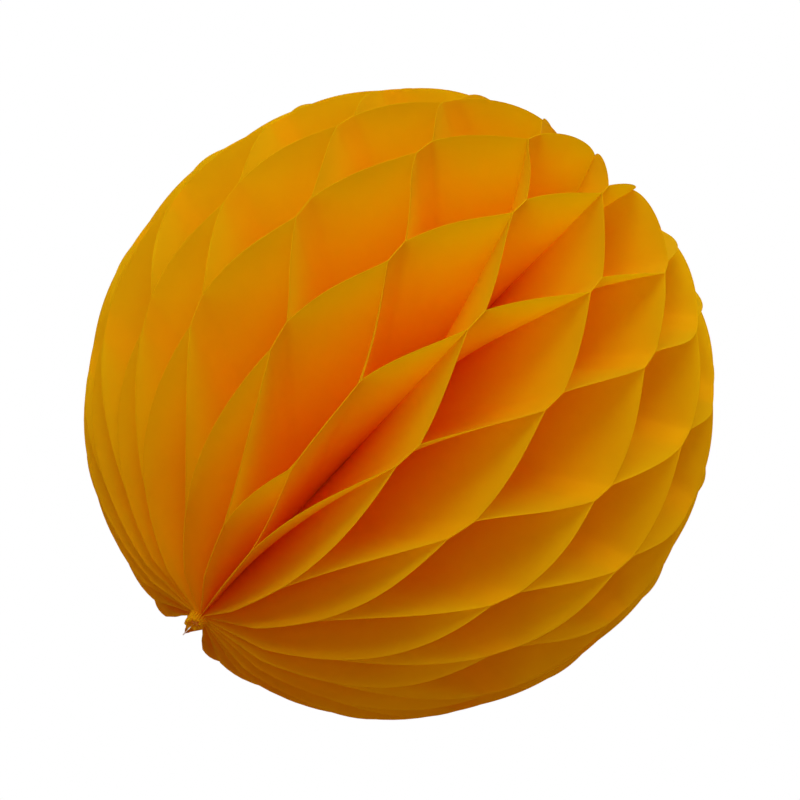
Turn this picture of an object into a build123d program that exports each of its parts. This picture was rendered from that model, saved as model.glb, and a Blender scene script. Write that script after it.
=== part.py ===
import os
from math import cos, radians, sin, tan

from build123d import *

# Paper honeycomb ball, 100 mm across, drawn open. Millimetres.
#
# Forty half-disc leaves of tissue stand round a spine like the pages of a book that is open all
# the way round. Each leaf is glued to its two neighbours on alternate rows, so it zigzags between
# them from pole to pole and the rows make diamond-shaped cells. A stiff cover card is glued to
# each end of the stack, and the two cards meet back to back at the seam.
#
# +Z runs up the spine to the hanging end, the origin is the centre of the ball, and the seam is
# the half-plane X = 0, Y > 0. Azimuths are degrees anticlockwise from +X, seen from +Z.

# --- driving dimensions -------------------------------------------------------------------------

ball_radius = 50.0

leaf_count = 40  # an even number, so that the glue rows still alternate across the seam
leaf_thickness = 0.2  # one leaf with the crinkle of its tissue
leaf_inner_radius = 2.0  # where the leaves start, round the stitching
leaf_gap = 0.06  # between two leaves along a glue row

glue_rows = 6
glue_pitch = 19.0  # between rows, along the spine
glue_width = 3.8
rim_shrink = 0.07  # the zigzag pulls the rows together at the rim by this share

card_thickness = 0.3
card_gap = 0.1  # between the two cards, where the adhesive strips lie
fixed_card_edge = 0.8  # straight edge of each card, measured from the spine
moving_card_edge = 4.2

strip_width = 6.0
strip_length = 24.0
strip_thickness = 0.08
strip_centre_y = 34.0
strip_centre_z = 18.0

thread_radius = 0.6
knot_radius = 1.5
knot_height = 1.6
pole_clearance = 0.05  # between a knot and the corners of the cards below it

# --- derived dimensions -------------------------------------------------------------------------

seam_azimuth = 90.0
leaf_angle = 360.0 / leaf_count
card_clearance = card_gap / 2 + card_thickness + leaf_gap
knot_base = ball_radius + pole_clearance

os.makedirs("parts", exist_ok=True)


def finish(part, name):
    """Label a finished piece and write it."""
    part.label = name
    export_step(part, f"parts/{name}.step")


# --- tissue leaves ------------------------------------------------------------------------------


def section_plane(azimuth, radius):
    """Plane square to a leaf at a radius: x runs sideways, y runs up, and z points outwards."""
    angle = radians(azimuth)
    outwards = Vector(cos(angle), sin(angle), 0)
    sideways = Vector(-sin(angle), cos(angle), 0)
    return Plane(origin=outwards * radius, x_dir=sideways, z_dir=outwards)


def glue_side(leaf, row):
    """The neighbour that a leaf is glued to on a row: 1 for the next leaf, -1 for the last."""
    return 1 if (leaf - row) % 2 == 0 else -1


def sideways_shift(leaf):
    """How far a leaf moves aside to leave room for the cards, most next to the seam."""
    return card_clearance * (1 - (leaf - 0.5) / (leaf_count / 2))


def leaf_outline(leaf, radius):
    """Closed outline of a leaf's zigzag section at a radius, as (sideways, up) points."""
    shift = sideways_shift(leaf)
    swing = radius * tan(radians(leaf_angle / 2)) - (leaf_thickness + leaf_gap) / 2
    row_scale = 1 - rim_shrink * radius / ball_radius
    middle = []
    for row in range(glue_rows):
        offset = shift + glue_side(leaf, row) * swing
        height = (row - (glue_rows - 1) / 2) * glue_pitch * row_scale
        middle.append((offset, height - glue_width / 2))
        middle.append((offset, height + glue_width / 2))
    # past the outermost rows the glued neighbours stay together, out to the poles
    pole_height = ball_radius + glue_width
    middle[0] = (middle[0][0], -pole_height)
    middle[-1] = (middle[-1][0], pole_height)
    half = leaf_thickness / 2
    near_side = [(x - half, y) for x, y in middle]
    far_side = [(x + half, y) for x, y in reversed(middle)]
    return near_side + far_side


for leaf_number in range(1, leaf_count + 1):
    leaf_azimuth = seam_azimuth + (leaf_number - 0.5) * leaf_angle
    with BuildPart() as tissue_leaf:
        for section_radius in (leaf_inner_radius, ball_radius + 1):
            with BuildSketch(section_plane(leaf_azimuth, section_radius)):
                with BuildLine():
                    Polyline(*leaf_outline(leaf_number, section_radius), close=True)
                make_face()
        loft(ruled=True)
        Sphere(ball_radius, mode=Mode.INTERSECT)
    finish(tissue_leaf.part, f"tissue_leaf_{leaf_number:02d}")


# --- cover cards and the adhesive between them --------------------------------------------------


def card_outline(straight_edge):
    """Half disc in the current sketch, cut parallel to the spine."""
    Circle(ball_radius)
    with Locations((straight_edge, 0)):
        Rectangle(ball_radius, 2 * ball_radius, align=(Align.MIN, Align.CENTER), mode=Mode.INTERSECT)


with BuildPart() as fixed_card:
    with BuildSketch(Plane.YZ.offset(-card_gap / 2)):
        card_outline(fixed_card_edge)
    extrude(amount=-card_thickness)
finish(fixed_card.part, "cover_card_fixed")

with BuildPart() as moving_card:
    with BuildSketch(Plane.YZ.offset(card_gap / 2)):
        card_outline(moving_card_edge)
    extrude(amount=card_thickness)
finish(moving_card.part, "cover_card_moving")

for strip_name, side in (("upper", 1), ("lower", -1)):
    with BuildPart() as strip:
        with BuildSketch(Plane.YZ.offset(-card_gap / 2)):
            with Locations((strip_centre_y, side * strip_centre_z)):
                RectangleRounded(strip_width, strip_length, 1.0)
        extrude(amount=strip_thickness)
    finish(strip.part, f"adhesive_strip_{strip_name}")


# --- stitching thread along the spine, with a knot at each end ----------------------------------

with BuildPart() as spine_thread:
    with BuildSketch(Plane.XY.offset(-knot_base)):
        Circle(thread_radius)
    extrude(amount=2 * knot_base)
finish(spine_thread.part, "spine_thread")

for knot_name, side in (("top", 1), ("bottom", -1)):
    inner_end = (thread_radius, side * knot_base)
    widest = (knot_radius, side * (knot_base + knot_height / 2))
    outer_end = (thread_radius, side * (knot_base + knot_height))
    with BuildPart() as knot:
        with BuildSketch(Plane.XZ):
            with BuildLine():
                Line((0, inner_end[1]), inner_end)
                ThreePointArc(inner_end, widest, outer_end)
                Line(outer_end, (0, outer_end[1]))
                Line((0, outer_end[1]), (0, inner_end[1]))
            make_face()
        revolve(axis=Axis.Z)
    finish(knot.part, f"{knot_name}_knot")
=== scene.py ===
"""Looks of the paper honeycomb ball, in metres, +Z up the spine and the origin at the ball's centre.

Each tissue leaf is worked out as a flat half disc (distance from the spine, height along it) and then
bent sideways between its two neighbours, the way the glue rows hold it.
"""

import math

import bpy
import numpy as np
from mathutils import Matrix, Vector


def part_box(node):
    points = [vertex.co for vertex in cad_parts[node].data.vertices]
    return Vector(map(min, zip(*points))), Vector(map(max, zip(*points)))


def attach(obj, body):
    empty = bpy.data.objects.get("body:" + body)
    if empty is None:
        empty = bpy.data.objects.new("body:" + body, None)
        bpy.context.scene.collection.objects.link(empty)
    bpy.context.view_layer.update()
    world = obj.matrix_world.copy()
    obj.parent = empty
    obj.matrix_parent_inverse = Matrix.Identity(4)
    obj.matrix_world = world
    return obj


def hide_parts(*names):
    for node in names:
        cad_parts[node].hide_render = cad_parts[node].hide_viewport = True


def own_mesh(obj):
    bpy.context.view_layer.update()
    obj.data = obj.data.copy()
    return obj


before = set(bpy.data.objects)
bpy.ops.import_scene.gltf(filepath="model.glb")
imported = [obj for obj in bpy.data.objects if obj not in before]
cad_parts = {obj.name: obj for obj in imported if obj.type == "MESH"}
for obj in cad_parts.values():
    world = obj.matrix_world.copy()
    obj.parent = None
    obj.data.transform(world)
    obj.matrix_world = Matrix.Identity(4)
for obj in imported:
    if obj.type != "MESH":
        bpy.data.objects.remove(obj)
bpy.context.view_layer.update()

MM = 0.001

# --- the ball, as the frame has it ---------------------------------------------------------------

LEAF_NODES = sorted(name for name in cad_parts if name.startswith("tissue_leaf_"))
LEAF_COUNT = len(LEAF_NODES)
BALL_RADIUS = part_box("cover_card_fixed")[1].z
LEAF_ANGLE = math.tau / LEAF_COUNT
SEAM_AZIMUTH = math.radians(90)
CARD_SLACK = 0.06 * MM  # between a card and the leaf beside it
CARD_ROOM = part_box("cover_card_moving")[1].x + CARD_SLACK

# --- the leaves ----------------------------------------------------------------------------------

GLUE_ROWS = 6
GLUE_PITCH = 19 * MM
GLUE_WIDTH = 3.8 * MM
FLAT_ROWS = [(row - (GLUE_ROWS - 1) / 2) * GLUE_PITCH for row in range(GLUE_ROWS)]
RIM_ROWS = [height * MM for height in (-47.7, -28.3, -9.7, 8.9, 25.3, 44.5)]  # where they reach the rim

EQUATOR_RADIUS = 0.991 * BALL_RADIUS  # at the glued places
FREE_BULGE = 0.010  # how much further out the rim comes between them
POLE_RADIUS = 1.02 * BALL_RADIUS
RIM_RIPPLE = 0.0015  # how unevenly the rim is cut and stretched, as a share of its radius

SPINE_GAP = 0.7 * MM  # from the axis to the leaves' straight edges
PAPER = 0.06 * MM
PAPER_AT_RIM = 0.05 * MM
THINNING_FROM = 0.98  # of the way to the rim, where the paper starts to thin
SPINE_FILL = 0.7  # of its share of the circle, the most that the paper takes up by the spine
GLUE_GAP = 0.035 * MM

CAP_HEIGHT = 50.0 * MM  # of the nearly flat caps inside the outermost glue rows, at the spine
EDGE_LEAN = 0.35 * MM  # past the cards' edges, over which the leaves lean together again

# the paper corners that stand up round the spine at both poles
CORNER_TIP = SPINE_GAP + 0.15 * MM  # distances from the spine
CORNER_WIDTH = 1.25 * MM
CORNER_FOOT = 1.25 * CORNER_WIDTH
CORNER_LENGTH = 1.6 * MM
MEAN_CORNER = 0.95  # of that length, and how much it varies round the ball
CORNER_SWAY = 0.35
LONGEST_CORNER = math.radians(140)  # azimuth where they are longest
CORNER_RAGGEDNESS = 0.12 * MM
CORNER_FADE = 0.6 * MM  # over which a corner crumples up to fill its share of the circle
CORNER_FILL = 0.97  # of that share

NODE_TURN = math.radians(0.45)  # how unevenly the glued places sit round the ball
NODE_LIFT = 0.3 * MM
BUCKLE = 0.25 * MM  # how far a free span bows sideways at the rim
FOLD_SOFTNESS = 0.12  # 0 for straight spans between glue rows, 1 for full S curves
CLING_DEPTH = 1.6  # how steeply clinging leaves part towards the spine

# glued places that sit well away from their even spacing: (boundary, row): (degrees, mm)
STRAY_NODES = {
    (20, 4): (0.8, 1.1),
    (22, 4): (2.7, 0.1),
    (21, 3): (1.4, -0.4),
    (14, 2): (1.2, -0.6),
    (24, 2): (1.3, -0.4),
    (13, 1): (2.2, -0.8),
    (17, 1): (1.2, 1.6),
    (19, 1): (1.1, 1.1),
    (21, 1): (-1.2, 0.2),
    (23, 1): (-1.1, -0.4),
    (27, 1): (-1.9, -1.3),
    (14, 0): (-2.6, -0.4),
    (16, 0): (2.3, -0.2),
    (18, 0): (1.7, 0.3),
    (20, 0): (-2.7, 0.3),
    (22, 0): (-2.9, -0.2),
    (24, 0): (-3.0, 0.3),
}
# glued places whose two leaves stay together for a share of the way to the row below
CLINGING = {(19, 1): 0.52}

# how finely a leaf is divided
CAP_STEPS = 8
GLUED_STEPS = 4
FREE_STEPS = 13
OUTWARD_STEPS = 16
RIM_CROWDING = 1.25  # above 1, the steps outwards come closer together towards the rim
LAST_STEPS = (0.985, 0.994, 1.0)

random = np.random.default_rng(11)
ragged = np.random.default_rng(4)


def rim_angle(height, pole):
    """Angle above the equator of a height on a spheroid with that pole."""
    return math.asin(max(-1.0, min(1.0, height / pole)))


def flat_heights():
    """Heights along the spine where a leaf gets a row of points, and the glue edges among them."""
    edges = [-BALL_RADIUS]
    for height in FLAT_ROWS:
        edges += [height - GLUE_WIDTH / 2, height + GLUE_WIDTH / 2]
    edges.append(BALL_RADIUS)
    steps = [CAP_STEPS] + [GLUED_STEPS, FREE_STEPS] * (GLUE_ROWS - 1) + [GLUED_STEPS, CAP_STEPS]
    angles = []
    for low, high, count in zip(edges, edges[1:], steps):
        start = rim_angle(low, BALL_RADIUS)
        stop = rim_angle(high, BALL_RADIUS)
        angles += list(np.linspace(start, stop, count, endpoint=False))
    angles.append(math.pi / 2)
    return BALL_RADIUS * np.sin(angles)


HEIGHTS = flat_heights()
EVEN_STEPS = np.linspace(0, 1, OUTWARD_STEPS, endpoint=False)
OUTWARDS = np.append(1 - (1 - EVEN_STEPS) ** RIM_CROWDING, LAST_STEPS)


def scattered_nodes():
    """Turn and lift of every glued place, none at the seam where the flat cards hold the leaves."""
    shape = (LEAF_COUNT + 1, GLUE_ROWS)
    turn = random.normal(0, NODE_TURN, shape)
    lift = random.normal(0, NODE_LIFT, shape)
    for (boundary, row), (degrees, millimetres) in STRAY_NODES.items():
        turn[boundary, row] = math.radians(degrees)
        lift[boundary, row] = millimetres * MM
    turn[0] = turn[-1] = 0
    return turn, lift


node_turn, node_lift = scattered_nodes()


def glue_side(leaf, row):
    """1 where a leaf is glued to the next leaf on a row, -1 where to the last."""
    return 1 if (leaf - row) % 2 == 0 else -1


def boundary_of(leaf, row):
    """Number of the boundary where a leaf is glued on a row: boundary b is between leaves b, b + 1."""
    return leaf if glue_side(leaf, row) > 0 else leaf - 1


def leaf_azimuth(leaf):
    return SEAM_AZIMUTH + (leaf - 0.5) * LEAF_ANGLE


def room_for_cards(leaf):
    """How far a leaf stands aside for the cover cards, most next to the seam."""
    return CARD_ROOM * (1 - (leaf - 0.5) / (LEAF_COUNT / 2))


def smooth(share):
    share = np.clip(share, 0, 1)
    return share * share * (3 - 2 * share)


def ripple(across, along, waves, size):
    """A smooth random surface over two coordinates, about size high."""
    total = np.zeros(np.broadcast(across, along).shape)
    for _ in range(waves):
        turns = random.uniform(-1.6, 1.6, 2)
        phase = random.uniform(0, math.tau)
        total += np.sin(math.tau * (across * turns[0] + along * turns[1]) + phase)
    return size * total / math.sqrt(waves)


def flatten_cap(leaf, side, distance, height):
    """Even out the rim inside the outermost glue row of a pole, and stand its corner up by the spine."""
    cap = np.arange(CAP_STEPS + 1)
    if side > 0:
        cap = len(HEIGHTS) - 1 - cap
    edge = cap[-1]
    inward = 1 - distance[cap] / distance[edge]
    height[cap] = height[edge] + (side * CAP_HEIGHT - height[edge]) * inward
    sway = CORNER_SWAY * math.cos(leaf_azimuth(leaf) - LONGEST_CORNER)
    length = CORNER_LENGTH * (MEAN_CORNER + sway) + ragged.normal(0, CORNER_RAGGEDNESS)
    height[cap[:2]] += side * length
    distance[cap[:3]] = CORNER_TIP, CORNER_WIDTH, CORNER_FOOT


def rim_outline(leaf):
    """Distance from the spine and height of the rim, for each of HEIGHTS."""
    flat_keys = [-math.pi / 2]
    rim_keys = [-math.pi / 2]
    for row, (flat, rim) in enumerate(zip(FLAT_ROWS, RIM_ROWS)):
        lifted = rim + node_lift[boundary_of(leaf, row), row]
        for edge in (-GLUE_WIDTH / 2, GLUE_WIDTH / 2):
            flat_keys.append(rim_angle(flat + edge, BALL_RADIUS))
            rim_keys.append(rim_angle(lifted + edge, POLE_RADIUS))
    flat_keys.append(math.pi / 2)
    rim_keys.append(math.pi / 2)
    angles = np.interp(np.arcsin(np.clip(HEIGHTS / BALL_RADIUS, -1, 1)), flat_keys, rim_keys)
    uneven = 1 + ripple(angles, 0 * angles, 3, RIM_RIPPLE)
    for low, high in zip(FLAT_ROWS, FLAT_ROWS[1:]):
        way = (HEIGHTS - low - GLUE_WIDTH / 2) / (high - low - GLUE_WIDTH)
        uneven += FREE_BULGE * np.sin(math.pi * np.clip(way, 0, 1))
    distance = EQUATOR_RADIUS * np.cos(angles) * uneven
    height = POLE_RADIUS * np.sin(angles) * uneven
    for side in (-1, 1):
        flatten_cap(leaf, side, distance, height)
    return distance, height


def leaf_points(leaf):
    """Middle surface of a leaf in its own axes (outwards, sideways, up), and its paper coordinates."""
    rim_distance, rim_height = rim_outline(leaf)
    out = OUTWARDS[:, None]
    distance = SPINE_GAP + out * (rim_distance - SPINE_GAP)
    up = HEIGHTS + out * (rim_height - HEIGHTS)
    share = distance / BALL_RADIUS

    room = distance * LEAF_ANGLE
    thickness = PAPER + (PAPER_AT_RIM - PAPER) * smooth((out - THINNING_FROM) / (1 - THINNING_FROM))
    thickness = np.minimum(thickness, SPINE_FILL * room)
    in_corner = smooth((abs(up) - CAP_HEIGHT) / CORNER_FADE)
    thickness = thickness + in_corner * (CORNER_FILL * room - thickness)
    half_gap = np.minimum((thickness + GLUE_GAP) / 2, room / 2)

    # where the leaf lies at each glue row
    middle = leaf_azimuth(leaf)
    outwards, sideways = [], []
    for row in range(GLUE_ROWS):
        boundary = boundary_of(leaf, row)
        azimuth = SEAM_AZIMUTH + boundary * LEAF_ANGLE + node_turn[boundary, row] * (1 - in_corner)
        outwards.append(distance * np.cos(azimuth - middle))
        sideways.append(distance * np.sin(azimuth - middle) - glue_side(leaf, row) * half_gap)

    # below and above the outermost rows the glued neighbours stay together
    x = np.where(HEIGHTS < 0, outwards[0], outwards[-1])
    y = np.where(HEIGHTS < 0, sideways[0], sideways[-1])
    free = np.zeros_like(distance)
    for row in range(GLUE_ROWS - 1):
        low = FLAT_ROWS[row] + GLUE_WIDTH / 2
        high = FLAT_ROWS[row + 1] - GLUE_WIDTH / 2
        way = np.clip((HEIGHTS - low) / (high - low), 0, 1) + 0 * distance
        cling = CLINGING.get((boundary_of(leaf, row + 1), row + 1), 0) * smooth(share * CLING_DEPTH)
        way = np.clip(way / (1 - cling), 0, 1)
        weight = (1 - FOLD_SOFTNESS) * way + FOLD_SOFTNESS * smooth(way)
        here = (HEIGHTS >= low - GLUE_WIDTH / 2) & (HEIGHTS <= high + GLUE_WIDTH / 2)
        x = np.where(here, outwards[row] + weight * (outwards[row + 1] - outwards[row]), x)
        y = np.where(here, sideways[row] + weight * (sideways[row + 1] - sideways[row]), y)
        free = np.where(here, np.sin(math.pi * way), free)
    y = y + free * share * ripple(share, HEIGHTS / BALL_RADIUS, 4, BUCKLE)
    over_cards = smooth((np.hypot(distance, up) - BALL_RADIUS) / EDGE_LEAN)
    y = y + room_for_cards(leaf) * (1 - over_cards)
    paper = np.stack([share, HEIGHTS / BALL_RADIUS + 0 * share], axis=-1)
    return x, y, up, thickness, paper


SHARP_ANGLE = math.radians(50)


def grid_faces(across, along):
    """Faces of a closed thin sheet: two grids of across by along points and the rim between them."""
    index = np.arange(across * along).reshape(across, along)
    quads = np.stack([index[:-1, :-1], index[1:, :-1], index[1:, 1:], index[:-1, 1:]], axis=-1)
    front_faces = quads.reshape(-1, 4)
    back_faces = (quads + across * along)[..., ::-1].reshape(-1, 4)
    loop = np.concatenate([index[:-1, 0], index[-1, :-1], index[1:, -1][::-1], index[0, 1:][::-1]])
    after = np.roll(loop, -1)
    rim = np.stack([after, loop, loop + across * along, after + across * along], axis=-1)
    return np.concatenate([front_faces, back_faces, rim]).tolist()


def mesh_object(name, points, faces, material, uv=None):
    """A smooth object whose sharp edges stay sharp, with its paper coordinates if it has any."""
    mesh = bpy.data.meshes.new(name)
    mesh.from_pydata(points.tolist(), [], faces)
    if uv is not None:
        layer = mesh.uv_layers.new(name="paper")
        corner = np.zeros(len(mesh.loops), np.int32)
        mesh.loops.foreach_get("vertex_index", corner)
        layer.data.foreach_set("uv", uv[corner].astype(np.float32).ravel())
    mesh.polygons.foreach_set("use_smooth", [True] * len(mesh.polygons))
    mesh.set_sharp_from_angle(angle=SHARP_ANGLE)
    mesh.update()
    piece = bpy.data.objects.new(name, mesh)
    bpy.context.scene.collection.objects.link(piece)
    mesh.materials.append(material)
    return piece


LEAF_FACES = grid_faces(len(OUTWARDS), len(HEIGHTS))
PAPER_SHIFT = np.array([1.7, 0.6])  # from leaf to leaf, so that no two show the same fibres


def make_leaf(leaf, node, material):
    """One tissue leaf, closed all round, riding on its own leaf body."""
    x, y, up, thickness, paper = leaf_points(leaf)
    azimuth = leaf_azimuth(leaf)
    outwards = np.array([math.cos(azimuth), math.sin(azimuth), 0])
    sideways = np.array([-math.sin(azimuth), math.cos(azimuth), 0])
    vertical = np.array([0, 0, 1])
    sheets = []
    for side in (1, -1):
        shifted = y + side * thickness / 2
        sheets.append(x[..., None] * outwards + shifted[..., None] * sideways + up[..., None] * vertical)
    points = np.concatenate([sheet.reshape(-1, 3) for sheet in sheets])
    uv = np.concatenate([paper.reshape(-1, 2)] * 2) + PAPER_SHIFT * leaf
    piece = mesh_object(f"leaf_{leaf:02d}_tissue", points, LEAF_FACES, material, uv)
    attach(piece, f"leaf_{leaf:02d}")
    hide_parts(node)
    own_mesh(piece)
    return piece


# --- materials -----------------------------------------------------------------------------------

# what the tissue throws back, in two tones and where a fibre lies, and what it lets through
DYE_LIGHT = (0.998, 0.75, 0.002)
DYE_DARK = (0.995, 0.70, 0.001)
FIBRE_COLOUR = (0.998, 0.77, 0.002)
CLEAR_LIGHT = (0.998, 0.913, 0.001)
CLEAR_DARK = (0.995, 0.873, 0.001)
TRANSLUCENCY = 0.63
TISSUE_ROUGHNESS = 0.85
TISSUE_SHEEN = 0.15
TISSUE_RELIEF = 0.05 * MM
CLOUDS = 9  # per ball radius of paper
FIBRES = 150


def new_material(name):
    """A node material with its nodes, its links and its main shader."""
    material = bpy.data.materials.new(name)
    material.use_nodes = True
    nodes = material.node_tree.nodes
    return material, nodes, material.node_tree.links, nodes["Principled BSDF"]


def noise(nodes, links, vector, scale, detail):
    """The strength of a noise texture over some coordinates."""
    texture = nodes.new("ShaderNodeTexNoise")
    texture.inputs["Scale"].default_value = scale
    texture.inputs["Detail"].default_value = detail
    links.new(vector, texture.inputs["Vector"])
    return texture.outputs["Fac"]


def mix_colours(nodes, links, factor, first, second):
    """A mix of two colours, each a plain colour or another node's output."""
    mix = nodes.new("ShaderNodeMix")
    mix.data_type = "RGBA"
    links.new(factor, mix.inputs["Factor"])
    for value, socket in ((first, mix.inputs["A"]), (second, mix.inputs["B"])):
        sockets = [s for s in mix.inputs if s.name == socket.name and s.type == "RGBA"]
        if isinstance(value, bpy.types.NodeSocket):
            links.new(value, sockets[0])
        else:
            sockets[0].default_value = (*value, 1)
    return [s for s in mix.outputs if s.type == "RGBA"][0]


def tissue_material():
    """Thin dyed tissue: matt, fibrous, and lit through from behind."""
    material, nodes, links, shader = new_material("orange_tissue")
    paper = nodes.new("ShaderNodeUVMap")
    paper.uv_map = "paper"
    cloudy = noise(nodes, links, paper.outputs["UV"], CLOUDS, 3)
    fibres = noise(nodes, links, paper.outputs["UV"], FIBRES, 5)
    dye = mix_colours(nodes, links, cloudy, DYE_LIGHT, DYE_DARK)
    colour = mix_colours(nodes, links, fibres, dye, FIBRE_COLOUR)
    clear = mix_colours(nodes, links, cloudy, CLEAR_LIGHT, CLEAR_DARK)
    links.new(colour, shader.inputs["Base Color"])
    shader.inputs["Roughness"].default_value = TISSUE_ROUGHNESS
    shader.inputs["Specular IOR Level"].default_value = TISSUE_SHEEN
    bump = nodes.new("ShaderNodeBump")
    bump.inputs["Strength"].default_value = 0.25
    bump.inputs["Distance"].default_value = TISSUE_RELIEF
    links.new(fibres, bump.inputs["Height"])
    links.new(bump.outputs["Normal"], shader.inputs["Normal"])
    through = nodes.new("ShaderNodeBsdfTranslucent")
    links.new(clear, through.inputs["Color"])
    links.new(bump.outputs["Normal"], through.inputs["Normal"])
    both = nodes.new("ShaderNodeMixShader")
    both.inputs["Fac"].default_value = TRANSLUCENCY
    links.new(shader.outputs["BSDF"], both.inputs[1])
    links.new(through.outputs["BSDF"], both.inputs[2])
    links.new(both.outputs["Shader"], nodes["Material Output"].inputs["Surface"])
    return material


def speckled_material(name, light, dark, scale, roughness, relief):
    """A matt material with two tones of fine speckle and a shallow relief."""
    material, nodes, links, shader = new_material(name)
    place = nodes.new("ShaderNodeTexCoord")
    speckle = noise(nodes, links, place.outputs["Object"], scale, 4)
    links.new(mix_colours(nodes, links, speckle, dark, light), shader.inputs["Base Color"])
    shader.inputs["Roughness"].default_value = roughness
    bump = nodes.new("ShaderNodeBump")
    bump.inputs["Strength"].default_value = 0.4
    bump.inputs["Distance"].default_value = relief
    links.new(speckle, bump.inputs["Height"])
    links.new(bump.outputs["Normal"], shader.inputs["Normal"])
    return material


TISSUE = tissue_material()
CARD = speckled_material("cover_card", (0.95, 0.50, 0.03), (0.88, 0.42, 0.02), 1400, 0.8, 0.04 * MM)
ADHESIVE = speckled_material("adhesive_film", (0.78, 0.72, 0.60), (0.66, 0.58, 0.44), 700, 0.45, 0.02 * MM)
THREAD = speckled_material("cotton_thread", (0.96, 0.52, 0.04), (0.88, 0.40, 0.03), 5000, 0.9, 0.05 * MM)

for leaf_number, leaf_node in enumerate(LEAF_NODES, start=1):
    make_leaf(leaf_number, leaf_node, TISSUE)

for node_name, material, slot in (
    ("cover_card_fixed", CARD, "card"),
    ("cover_card_moving", CARD, "card"),
    ("adhesive_strip_upper", ADHESIVE, "adhesive"),
    ("adhesive_strip_lower", ADHESIVE, "adhesive"),
):
    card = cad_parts[node_name]
    card.data.materials.clear()
    card.data.materials.append(material)

# --- stitching thread and its knots ----------------------------------------------------------------

STRANDS = 3
STRAND_RADIUS = 0.27 * MM
STRAND_TWIST = 4.5 * MM  # rise of one strand in one turn
STRAND_STEPS = 240
STRAND_SIDES = 8
KNOT_STRAND = 0.2 * MM
KNOT_SHARE = 0.52  # of its box that a knot fills, pulled tight among the paper corners
KNOT_STEPS = 96
KNOT_SIDES = 10
SLANT = (0.31, 0.94, 0.13)  # a direction that no part of the thread runs along


def tube(path, radius, sides, closed):
    """Points and faces of a round tube along a path."""
    path = np.asarray(path)
    ahead = np.roll(path, -1, axis=0) - np.roll(path, 1, axis=0)
    if not closed:
        ahead[0] = path[1] - path[0]
        ahead[-1] = path[-1] - path[-2]
    ahead /= np.linalg.norm(ahead, axis=1)[:, None]
    first = np.cross(ahead, SLANT)
    first /= np.linalg.norm(first, axis=1)[:, None]
    second = np.cross(ahead, first)
    turn = np.arange(sides) * math.tau / sides
    ring = np.cos(turn)[None, :, None] * first[:, None] + np.sin(turn)[None, :, None] * second[:, None]
    points = (path[:, None] + radius * ring).reshape(-1, 3)
    rings = len(path)
    faces = []
    for step in range(rings if closed else rings - 1):
        for side in range(sides):
            a = step * sides + side
            b = step * sides + (side + 1) % sides
            c = ((step + 1) % rings) * sides + (side + 1) % sides
            d = ((step + 1) % rings) * sides + side
            faces.append((a, b, c, d))
    if not closed:
        faces.append(tuple(range(sides))[::-1])
        faces.append(tuple(range((rings - 1) * sides, rings * sides)))
    return points, faces


def joined(parts):
    """Several sets of points and faces as one."""
    points, faces = [], []
    for part_points, part_faces in parts:
        start = sum(len(p) for p in points)
        points.append(part_points)
        faces += [tuple(start + corner for corner in face) for face in part_faces]
    return np.concatenate(points), faces


def make_knot(low, high):
    """A small trefoil knot in the middle of the box from low to high."""
    turn = np.linspace(0, math.tau, KNOT_STEPS, endpoint=False)
    loop = np.stack(
        [
            np.sin(turn) + 2 * np.sin(2 * turn),
            np.cos(turn) - 2 * np.cos(2 * turn),
            -np.sin(3 * turn),
        ],
        axis=-1,
    )
    half = np.array((high - low) * KNOT_SHARE) / 2 - KNOT_STRAND
    loop *= half / np.abs(loop).max(axis=0)
    loop += np.array((low + high) / 2)
    return tube(loop, KNOT_STRAND, KNOT_SIDES, True)


def plain_object(name, points, faces, material, body, node):
    """A piece that rides on one body and stands for one node."""
    piece = mesh_object(name, points, faces, material)
    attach(piece, body)
    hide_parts(node)
    return piece


def make_threads():
    """The twisted thread down the spine and the knot at each end of it."""
    low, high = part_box("spine_thread")
    heights = np.linspace(low.z, high.z, STRAND_STEPS)
    parts = []
    for strand in range(STRANDS):
        turn = math.tau * (heights / STRAND_TWIST + strand / STRANDS)
        path = np.stack([STRAND_RADIUS * np.cos(turn), STRAND_RADIUS * np.sin(turn), heights], axis=-1)
        parts.append(tube(path, STRAND_RADIUS, STRAND_SIDES, False))
    points, faces = joined(parts)
    plain_object("spine_strands", points, faces, THREAD, "fixed_cover", "spine_thread")
    for end in ("top_knot", "bottom_knot"):
        points, faces = make_knot(*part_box(end))
        plain_object(f"{end}_thread", points, faces, THREAD, "fixed_cover", end)


make_threads()

# --- camera ----------------------------------------------------------------------------------------

CAMERA_ELEVATION = math.radians(-29.2)
CAMERA_ROLL = math.radians(43.1)
CAMERA_DISTANCE = 5.65 * BALL_RADIUS
SENSOR = 36.0
BALL_SHARE = 0.784  # of half the picture's width, where the ball's edge comes
BALL_OFFSET = (0.0025, -0.005)  # of half the picture's width, to the right and up

towards = Vector((0, math.cos(CAMERA_ELEVATION), -math.sin(CAMERA_ELEVATION)))
above = Vector((0, math.sin(CAMERA_ELEVATION), math.cos(CAMERA_ELEVATION)))
right = towards.cross(above)
picture_up = math.cos(CAMERA_ROLL) * above - math.sin(CAMERA_ROLL) * right
picture_right = math.sin(CAMERA_ROLL) * above + math.cos(CAMERA_ROLL) * right


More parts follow.
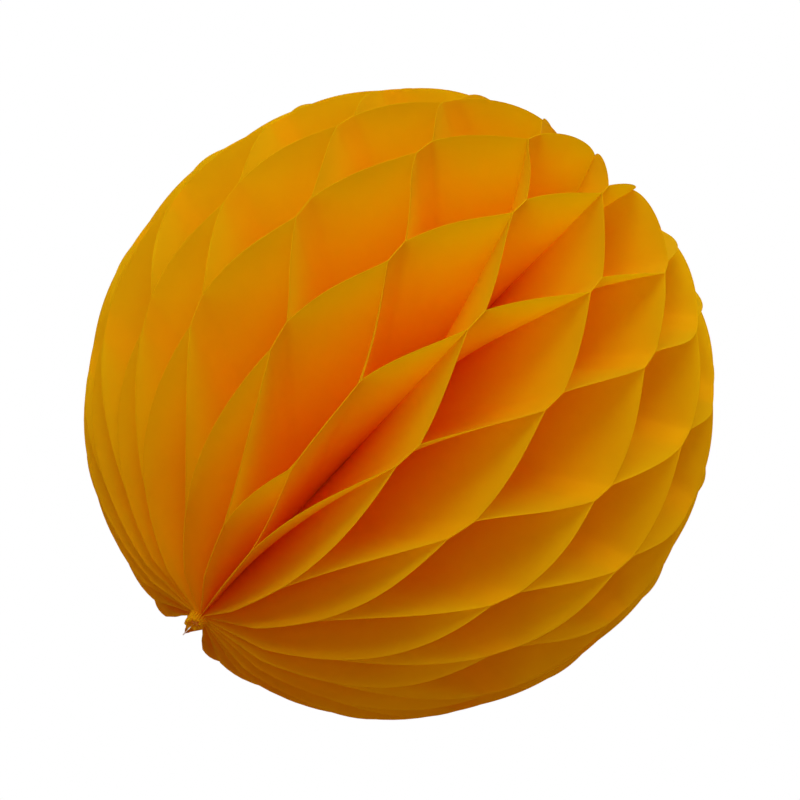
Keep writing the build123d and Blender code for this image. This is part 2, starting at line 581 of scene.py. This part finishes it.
def make_camera():
    """The camera looks up at the ball from below, turned so that the spine leans to the right."""
    data = bpy.data.cameras.new("camera")
    data.sensor_width = SENSOR
    ratio = CAMERA_DISTANCE / BALL_RADIUS
    data.lens = BALL_SHARE * SENSOR / 2 * math.sqrt(ratio**2 - 1)
    data.shift_x = -BALL_OFFSET[0] / 2
    data.shift_y = -BALL_OFFSET[1] / 2
    data.clip_start = 0.01
    data.clip_end = 200
    camera = bpy.data.objects.new("camera", data)
    bpy.context.scene.collection.objects.link(camera)
    axes = Matrix((picture_right, picture_up, -towards)).transposed()
    camera.matrix_world = Matrix.Translation(-towards * CAMERA_DISTANCE) @ axes.to_4x4()
    bpy.context.scene.camera = camera


make_camera()

# --- floor and light -------------------------------------------------------------------------------

FLOOR_DEPTH = 0.30
FLOOR_GLOW = 0.6
FLOOR_SIZE = 80.0
LIGHT_DISTANCE = 0.55
LIGHT_SIZE = 0.35
SOFT_LIGHT = 0.20
SOFT_LIGHT_COLOUR = (1, 0.30, 0.16, 1)
BACKDROP = 1.0
DIFFUSE_BOUNCES = 48  # many, since the depth of the cells is lit through leaf after leaf
TRANSMISSION_BOUNCES = 64
MOST_BOUNCES = 96

# name, direction from the ball, watts, colour
LIGHTS = (
    ("key", picture_up - towards, 1.25, (0.95, 1, 1)),
    ("front", -towards, 0.35, (1, 1, 1)),
    ("upper_left", picture_up - picture_right - 0.5 * towards, 0.34, (0.95, 1, 1)),
    ("upper_right", picture_up + picture_right - 0.5 * towards, 0.7, (0.90, 1, 1)),
    ("top", picture_up + 0.1 * towards, 0.5, (0.45, 1, 1)),
    ("back", towards + 0.1 * picture_up, 1.2, (1, 1, 1)),
    ("side", Vector((1, 0.45, 0.25)), 0.3, (1, 1, 1)),
    ("lower_left", -picture_right - 0.5 * picture_up, 0.2, (0.95, 1, 1)),
)


def make_floor():
    """A wide pale floor below the ball, which glows a little and throws no light back at it."""
    half = FLOOR_SIZE / 2
    corners = [(-half, -half, -FLOOR_DEPTH), (half, -half, -FLOOR_DEPTH)]
    corners += [(half, half, -FLOOR_DEPTH), (-half, half, -FLOOR_DEPTH)]
    mesh = bpy.data.meshes.new("floor")
    mesh.from_pydata(corners, [], [(0, 1, 2, 3)])
    floor = bpy.data.objects.new("floor", mesh)
    bpy.context.scene.collection.objects.link(floor)
    material = speckled_material("studio_floor", (0.34, 0.36, 0.37), (0.30, 0.32, 0.33), 30, 0.9, 0.1 * MM)
    shader = material.node_tree.nodes["Principled BSDF"]
    shader.inputs["Emission Color"].default_value = (0.94, 0.98, 1, 1)
    shader.inputs["Emission Strength"].default_value = FLOOR_GLOW
    mesh.materials.append(material)
    floor.visible_diffuse = False
    floor.visible_glossy = False
    floor.visible_transmission = False
    floor.visible_shadow = False


def make_world():
    """Warm soft light all round, seen by the camera as a white backdrop."""
    world = bpy.data.worlds.new("studio")
    bpy.context.scene.world = world
    world.use_nodes = True
    nodes = world.node_tree.nodes
    links = world.node_tree.links
    nodes["Background"].inputs["Color"].default_value = SOFT_LIGHT_COLOUR
    nodes["Background"].inputs["Strength"].default_value = SOFT_LIGHT
    seen = nodes.new("ShaderNodeBackground")
    seen.inputs["Strength"].default_value = BACKDROP
    seen.inputs["Color"].default_value = (1, 1, 1, 1)
    rays = nodes.new("ShaderNodeLightPath")
    choose = nodes.new("ShaderNodeMixShader")
    links.new(rays.outputs["Is Camera Ray"], choose.inputs["Fac"])
    links.new(nodes["Background"].outputs["Background"], choose.inputs[1])
    links.new(seen.outputs["Background"], choose.inputs[2])
    links.new(choose.outputs["Shader"], nodes["World Output"].inputs["Surface"])


def area_light(name, direction, watts, colour):
    """A square soft light that faces the ball."""
    data = bpy.data.lights.new(name, "AREA")
    data.shape = "SQUARE"
    data.size = LIGHT_SIZE
    data.energy = watts
    data.color = colour
    light = bpy.data.objects.new(name, data)
    light.visible_camera = False
    bpy.context.scene.collection.objects.link(light)
    direction = direction.normalized()
    light.location = direction * LIGHT_DISTANCE
    light.rotation_mode = "QUATERNION"
    light.rotation_quaternion = direction.to_track_quat("Z", "Y")


make_floor()
make_world()
for light_name, direction, watts, colour in LIGHTS:
    area_light(light_name, direction, watts, colour)
bpy.context.scene.view_settings.view_transform = "Standard"
bpy.context.scene.cycles.diffuse_bounces = DIFFUSE_BOUNCES
bpy.context.scene.cycles.transmission_bounces = TRANSMISSION_BOUNCES
bpy.context.scene.cycles.max_bounces = MOST_BOUNCES
